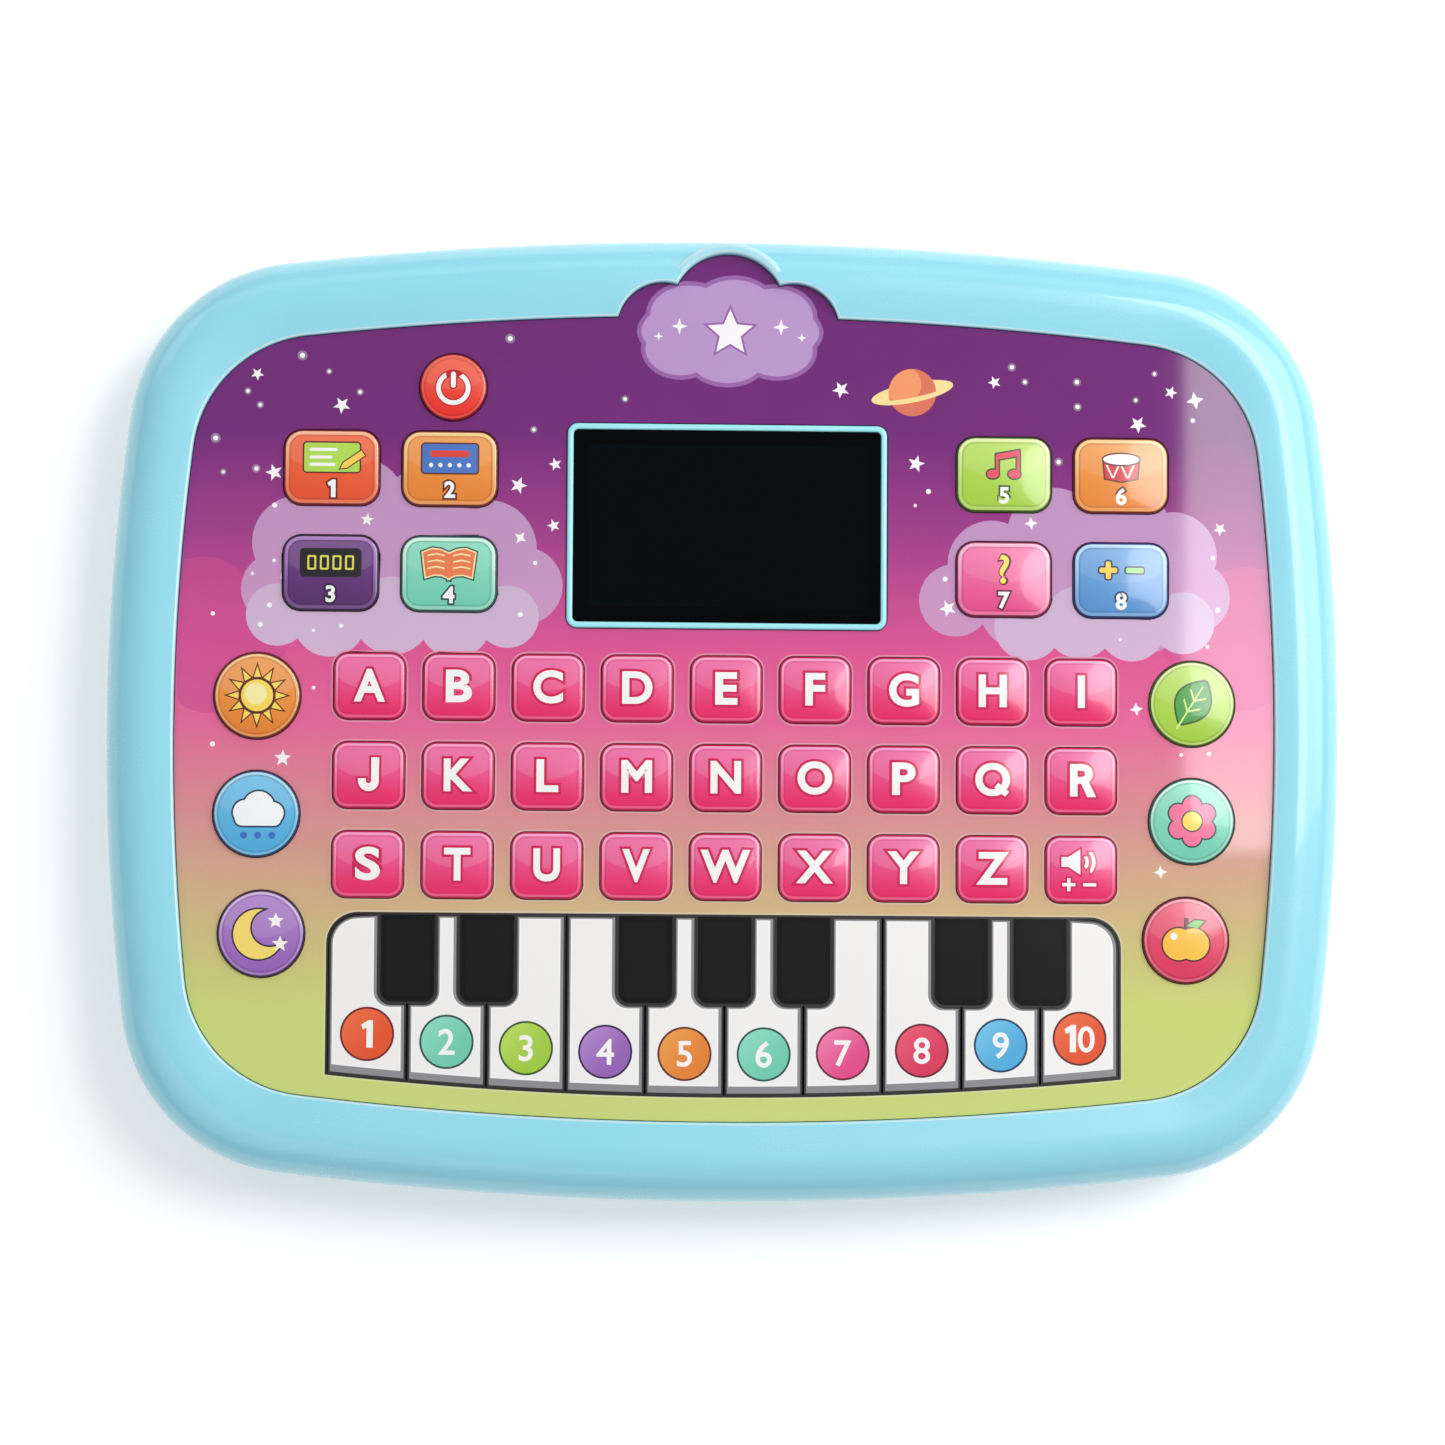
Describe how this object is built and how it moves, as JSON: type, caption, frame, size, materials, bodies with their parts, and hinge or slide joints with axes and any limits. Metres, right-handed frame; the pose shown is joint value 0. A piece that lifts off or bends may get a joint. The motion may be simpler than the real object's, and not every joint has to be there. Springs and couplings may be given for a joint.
{
  "type": "toy learning computer",
  "caption": "Flat toy computer with a display window, letter, mode and picture keys and a small piano keyboard, in a rounded two-shell case.",
  "frame": {"origin": "middle of the case's plan, at the level of the feet it lies on", "axes": "+X across the width to the right of the face, +Y up the face towards the cloud notch, +Z out of the face"},
  "size_m": [0.2374, 0.1854, 0.026],
  "materials": {
    "shell_blue": "moulded, glossy",
    "printed_film": "printed film, glossy",
    "screen_black": "smoked lens, glossy",
    "circuit_board": "satin",
    "speaker_steel": "satin",
    "cell_jacket": "satin",
    "letter_pink": "moulded, glossy",
    "power_red": "moulded, glossy",
    "mode_orange": "moulded, glossy",
    "mode_purple": "moulded, glossy",
    "mode_mint": "moulded, glossy",
    "mode_lime": "moulded, glossy",
    "mode_pink": "moulded, glossy",
    "mode_blue": "moulded, glossy",
    "picture_key": "printed, glossy",
    "piano_white": "moulded, glossy"
  },
  "bodies": {
    "case": {"front_shell": "shell_blue", "back_shell": "shell_blue", "face_panel": "printed_film", "screen_window": "screen_black", "circuit_board": "circuit_board", "speaker": "speaker_steel", "batteries": "cell_jacket"},
    "battery_door": {"battery_door": "shell_blue"},
    "key_power": {"key_power": "power_red"},
    "key_volume": {"key_volume": "letter_pink"},
    "key_letters": {"key_letters": "mode_orange"},
    "key_words": {"key_words": "mode_orange"},
    "key_spelling": {"key_spelling": "mode_purple"},
    "key_reading": {"key_reading": "mode_mint"},
    "key_song": {"key_song": "mode_lime"},
    "key_music": {"key_music": "mode_orange"},
    "key_question": {"key_question": "mode_pink"},
    "key_sums": {"key_sums": "mode_blue"},
    "key_picture_left_top": {"key_picture_left_top": "picture_key"},
    "key_picture_left_middle": {"key_picture_left_middle": "picture_key"},
    "key_picture_left_bottom": {"key_picture_left_bottom": "picture_key"},
    "key_picture_right_top": {"key_picture_right_top": "picture_key"},
    "key_picture_right_middle": {"key_picture_right_middle": "picture_key"},
    "key_picture_right_bottom": {"key_picture_right_bottom": "picture_key"},
    "key_piano_1": {"key_piano_1": "piano_white"},
    "key_piano_2": {"key_piano_2": "piano_white"},
    "key_piano_3": {"key_piano_3": "piano_white"},
    "key_piano_4": {"key_piano_4": "piano_white"},
    "key_piano_5": {"key_piano_5": "piano_white"},
    "key_piano_6": {"key_piano_6": "piano_white"},
    "key_piano_7": {"key_piano_7": "piano_white"},
    "key_piano_8": {"key_piano_8": "piano_white"},
    "key_piano_9": {"key_piano_9": "piano_white"},
    "key_piano_10": {"key_piano_10": "piano_white"},
    "key_a": {"key_a": "letter_pink"},
    "key_b": {"key_b": "letter_pink"},
    "key_c": {"key_c": "letter_pink"},
    "key_d": {"key_d": "letter_pink"},
    "key_e": {"key_e": "letter_pink"},
    "key_f": {"key_f": "letter_pink"},
    "key_g": {"key_g": "letter_pink"},
    "key_h": {"key_h": "letter_pink"},
    "key_i": {"key_i": "letter_pink"},
    "key_j": {"key_j": "letter_pink"},
    "key_k": {"key_k": "letter_pink"},
    "key_l": {"key_l": "letter_pink"},
    "key_m": {"key_m": "letter_pink"},
    "key_n": {"key_n": "letter_pink"},
    "key_o": {"key_o": "letter_pink"},
    "key_p": {"key_p": "letter_pink"},
    "key_q": {"key_q": "letter_pink"},
    "key_r": {"key_r": "letter_pink"},
    "key_s": {"key_s": "letter_pink"},
    "key_t": {"key_t": "letter_pink"},
    "key_u": {"key_u": "letter_pink"},
    "key_v": {"key_v": "letter_pink"},
    "key_w": {"key_w": "letter_pink"},
    "key_x": {"key_x": "letter_pink"},
    "key_y": {"key_y": "letter_pink"},
    "key_z": {"key_z": "letter_pink"}
  },
  "joints": [
    {"name": "battery_door_swing", "type": "hinge", "parent": "case", "child": "battery_door", "pos_m": [0.014, -0.0303, 0.0012], "axis": [-1, 0, 0], "range_deg": [0, 40]},
    {"name": "key_power_press", "type": "slide", "parent": "case", "child": "key_power", "axis": [0, 0, -1], "range_m": [0, 0.0008], "stiffness_N_per_m": 800},
    {"name": "key_volume_press", "type": "slide", "parent": "case", "child": "key_volume", "axis": [0, 0, -1], "range_m": [0, 0.0008], "stiffness_N_per_m": 800},
    {"name": "key_letters_press", "type": "slide", "parent": "case", "child": "key_letters", "axis": [0, 0, -1], "range_m": [0, 0.0008], "stiffness_N_per_m": 800},
    {"name": "key_words_press", "type": "slide", "parent": "case", "child": "key_words", "axis": [0, 0, -1], "range_m": [0, 0.0008], "stiffness_N_per_m": 800},
    {"name": "key_spelling_press", "type": "slide", "parent": "case", "child": "key_spelling", "axis": [0, 0, -1], "range_m": [0, 0.0008], "stiffness_N_per_m": 800},
    {"name": "key_reading_press", "type": "slide", "parent": "case", "child": "key_reading", "axis": [0, 0, -1], "range_m": [0, 0.0008], "stiffness_N_per_m": 800},
    {"name": "key_song_press", "type": "slide", "parent": "case", "child": "key_song", "axis": [0, 0, -1], "range_m": [0, 0.0008], "stiffness_N_per_m": 800},
    {"name": "key_music_press", "type": "slide", "parent": "case", "child": "key_music", "axis": [0, 0, -1], "range_m": [0, 0.0008], "stiffness_N_per_m": 800},
    {"name": "key_question_press", "type": "slide", "parent": "case", "child": "key_question", "axis": [0, 0, -1], "range_m": [0, 0.0008], "stiffness_N_per_m": 800},
    {"name": "key_sums_press", "type": "slide", "parent": "case", "child": "key_sums", "axis": [0, 0, -1], "range_m": [0, 0.0008], "stiffness_N_per_m": 800},
    {"name": "key_picture_left_top_press", "type": "slide", "parent": "case", "child": "key_picture_left_top", "axis": [0, 0, -1], "range_m": [0, 0.0008], "stiffness_N_per_m": 800},
    {"name": "key_picture_left_middle_press", "type": "slide", "parent": "case", "child": "key_picture_left_middle", "axis": [0, 0, -1], "range_m": [0, 0.0008], "stiffness_N_per_m": 800},
    {"name": "key_picture_left_bottom_press", "type": "slide", "parent": "case", "child": "key_picture_left_bottom", "axis": [0, 0, -1], "range_m": [0, 0.0008], "stiffness_N_per_m": 800},
    {"name": "key_picture_right_top_press", "type": "slide", "parent": "case", "child": "key_picture_right_top", "axis": [0, 0, -1], "range_m": [0, 0.0008], "stiffness_N_per_m": 800},
    {"name": "key_picture_right_middle_press", "type": "slide", "parent": "case", "child": "key_picture_right_middle", "axis": [0, 0, -1], "range_m": [0, 0.0008], "stiffness_N_per_m": 800},
    {"name": "key_picture_right_bottom_press", "type": "slide", "parent": "case", "child": "key_picture_right_bottom", "axis": [0, 0, -1], "range_m": [0, 0.0008], "stiffness_N_per_m": 800},
    {"name": "key_piano_1_press", "type": "slide", "parent": "case", "child": "key_piano_1", "axis": [0, 0, -1], "range_m": [0, 0.0008], "stiffness_N_per_m": 800},
    {"name": "key_piano_2_press", "type": "slide", "parent": "case", "child": "key_piano_2", "axis": [0, 0, -1], "range_m": [0, 0.0008], "stiffness_N_per_m": 800},
    {"name": "key_piano_3_press", "type": "slide", "parent": "case", "child": "key_piano_3", "axis": [0, 0, -1], "range_m": [0, 0.0008], "stiffness_N_per_m": 800},
    {"name": "key_piano_4_press", "type": "slide", "parent": "case", "child": "key_piano_4", "axis": [0, 0, -1], "range_m": [0, 0.0008], "stiffness_N_per_m": 800},
    {"name": "key_piano_5_press", "type": "slide", "parent": "case", "child": "key_piano_5", "axis": [0, 0, -1], "range_m": [0, 0.0008], "stiffness_N_per_m": 800},
    {"name": "key_piano_6_press", "type": "slide", "parent": "case", "child": "key_piano_6", "axis": [0, 0, -1], "range_m": [0, 0.0008], "stiffness_N_per_m": 800},
    {"name": "key_piano_7_press", "type": "slide", "parent": "case", "child": "key_piano_7", "axis": [0, 0, -1], "range_m": [0, 0.0008], "stiffness_N_per_m": 800},
    {"name": "key_piano_8_press", "type": "slide", "parent": "case", "child": "key_piano_8", "axis": [0, 0, -1], "range_m": [0, 0.0008], "stiffness_N_per_m": 800},
    {"name": "key_piano_9_press", "type": "slide", "parent": "case", "child": "key_piano_9", "axis": [0, 0, -1], "range_m": [0, 0.0008], "stiffness_N_per_m": 800},
    {"name": "key_piano_10_press", "type": "slide", "parent": "case", "child": "key_piano_10", "axis": [0, 0, -1], "range_m": [0, 0.0008], "stiffness_N_per_m": 800},
    {"name": "key_a_press", "type": "slide", "parent": "case", "child": "key_a", "axis": [0, 0, -1], "range_m": [0, 0.0008], "stiffness_N_per_m": 800},
    {"name": "key_b_press", "type": "slide", "parent": "case", "child": "key_b", "axis": [0, 0, -1], "range_m": [0, 0.0008], "stiffness_N_per_m": 800},
    {"name": "key_c_press", "type": "slide", "parent": "case", "child": "key_c", "axis": [0, 0, -1], "range_m": [0, 0.0008], "stiffness_N_per_m": 800},
    {"name": "key_d_press", "type": "slide", "parent": "case", "child": "key_d", "axis": [0, 0, -1], "range_m": [0, 0.0008], "stiffness_N_per_m": 800},
    {"name": "key_e_press", "type": "slide", "parent": "case", "child": "key_e", "axis": [0, 0, -1], "range_m": [0, 0.0008], "stiffness_N_per_m": 800},
    {"name": "key_f_press", "type": "slide", "parent": "case", "child": "key_f", "axis": [0, 0, -1], "range_m": [0, 0.0008], "stiffness_N_per_m": 800},
    {"name": "key_g_press", "type": "slide", "parent": "case", "child": "key_g", "axis": [0, 0, -1], "range_m": [0, 0.0008], "stiffness_N_per_m": 800},
    {"name": "key_h_press", "type": "slide", "parent": "case", "child": "key_h", "axis": [0, 0, -1], "range_m": [0, 0.0008], "stiffness_N_per_m": 800},
    {"name": "key_i_press", "type": "slide", "parent": "case", "child": "key_i", "axis": [0, 0, -1], "range_m": [0, 0.0008], "stiffness_N_per_m": 800},
    {"name": "key_j_press", "type": "slide", "parent": "case", "child": "key_j", "axis": [0, 0, -1], "range_m": [0, 0.0008], "stiffness_N_per_m": 800},
    {"name": "key_k_press", "type": "slide", "parent": "case", "child": "key_k", "axis": [0, 0, -1], "range_m": [0, 0.0008], "stiffness_N_per_m": 800},
    {"name": "key_l_press", "type": "slide", "parent": "case", "child": "key_l", "axis": [0, 0, -1], "range_m": [0, 0.0008], "stiffness_N_per_m": 800},
    {"name": "key_m_press", "type": "slide", "parent": "case", "child": "key_m", "axis": [0, 0, -1], "range_m": [0, 0.0008], "stiffness_N_per_m": 800},
    {"name": "key_n_press", "type": "slide", "parent": "case", "child": "key_n", "axis": [0, 0, -1], "range_m": [0, 0.0008], "stiffness_N_per_m": 800},
    {"name": "key_o_press", "type": "slide", "parent": "case", "child": "key_o", "axis": [0, 0, -1], "range_m": [0, 0.0008], "stiffness_N_per_m": 800},
    {"name": "key_p_press", "type": "slide", "parent": "case", "child": "key_p", "axis": [0, 0, -1], "range_m": [0, 0.0008], "stiffness_N_per_m": 800},
    {"name": "key_q_press", "type": "slide", "parent": "case", "child": "key_q", "axis": [0, 0, -1], "range_m": [0, 0.0008], "stiffness_N_per_m": 800},
    {"name": "key_r_press", "type": "slide", "parent": "case", "child": "key_r", "axis": [0, 0, -1], "range_m": [0, 0.0008], "stiffness_N_per_m": 800},
    {"name": "key_s_press", "type": "slide", "parent": "case", "child": "key_s", "axis": [0, 0, -1], "range_m": [0, 0.0008], "stiffness_N_per_m": 800},
    {"name": "key_t_press", "type": "slide", "parent": "case", "child": "key_t", "axis": [0, 0, -1], "range_m": [0, 0.0008], "stiffness_N_per_m": 800},
    {"name": "key_u_press", "type": "slide", "parent": "case", "child": "key_u", "axis": [0, 0, -1], "range_m": [0, 0.0008], "stiffness_N_per_m": 800},
    {"name": "key_v_press", "type": "slide", "parent": "case", "child": "key_v", "axis": [0, 0, -1], "range_m": [0, 0.0008], "stiffness_N_per_m": 800},
    {"name": "key_w_press", "type": "slide", "parent": "case", "child": "key_w", "axis": [0, 0, -1], "range_m": [0, 0.0008], "stiffness_N_per_m": 800},
    {"name": "key_x_press", "type": "slide", "parent": "case", "child": "key_x", "axis": [0, 0, -1], "range_m": [0, 0.0008], "stiffness_N_per_m": 800},
    {"name": "key_y_press", "type": "slide", "parent": "case", "child": "key_y", "axis": [0, 0, -1], "range_m": [0, 0.0008], "stiffness_N_per_m": 800},
    {"name": "key_z_press", "type": "slide", "parent": "case", "child": "key_z", "axis": [0, 0, -1], "range_m": [0, 0.0008], "stiffness_N_per_m": 800}
  ]
}
